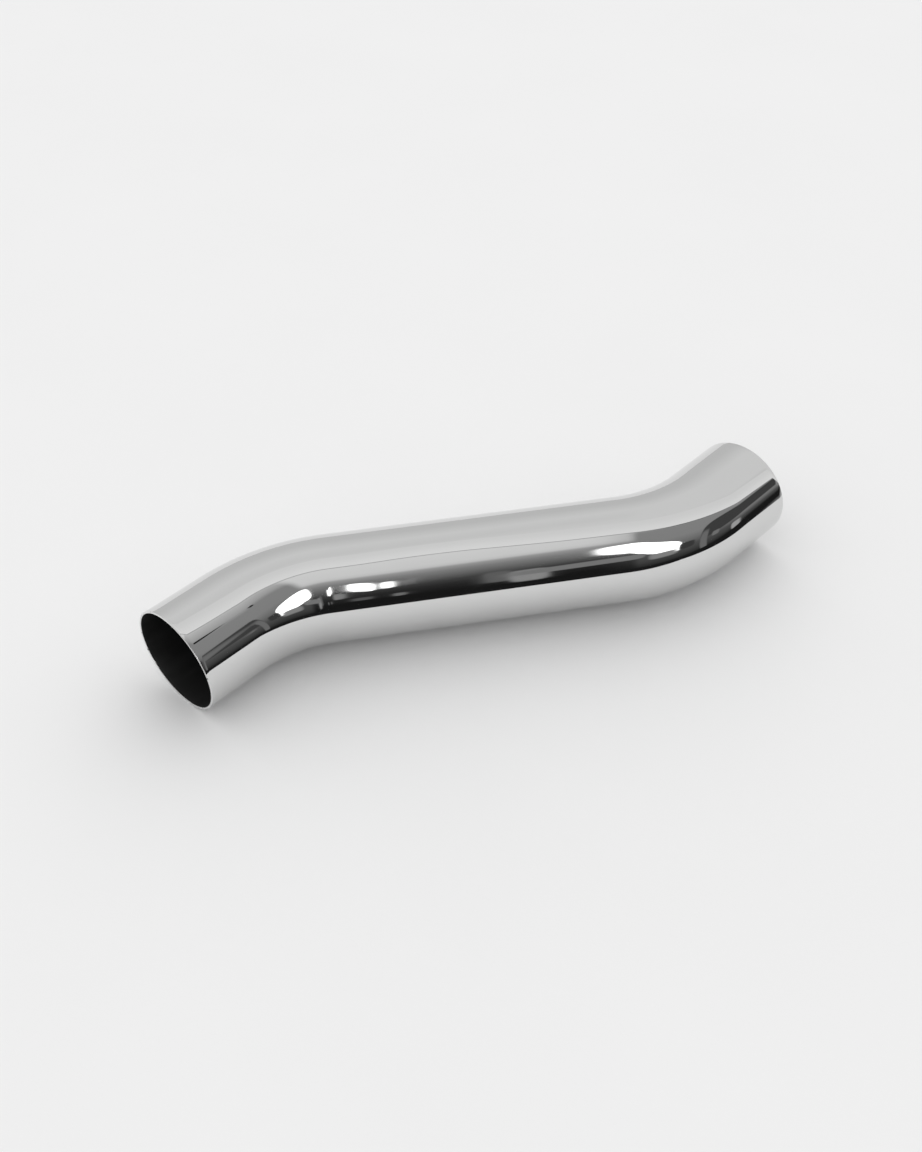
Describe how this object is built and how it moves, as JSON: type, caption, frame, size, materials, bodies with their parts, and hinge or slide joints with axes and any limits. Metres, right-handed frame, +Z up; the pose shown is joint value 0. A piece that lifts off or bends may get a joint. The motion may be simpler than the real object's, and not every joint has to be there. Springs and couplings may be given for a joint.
{
  "type": "exhaust pipe",
  "caption": "Thin-walled polished steel exhaust tube bent into a shallow S, with plain square-cut ends that take a slip joint, sleeve or band clamp.",
  "frame": {"origin": "on the surface the pipe lies on, under the middle of its middle straight, which is also the middle of its bounding box", "axes": "+X along the middle straight towards the outlet leg, +Y the way the outlet leg turns, +Z up, square to the plane of the bends"},
  "size_m": [0.3894, 0.1322, 0.0635],
  "materials": {
    "polished_steel": "mirror-polished"
  },
  "bodies": {
    "root": {"bent_pipe": "polished_steel"}
  },
  "joints": []
}
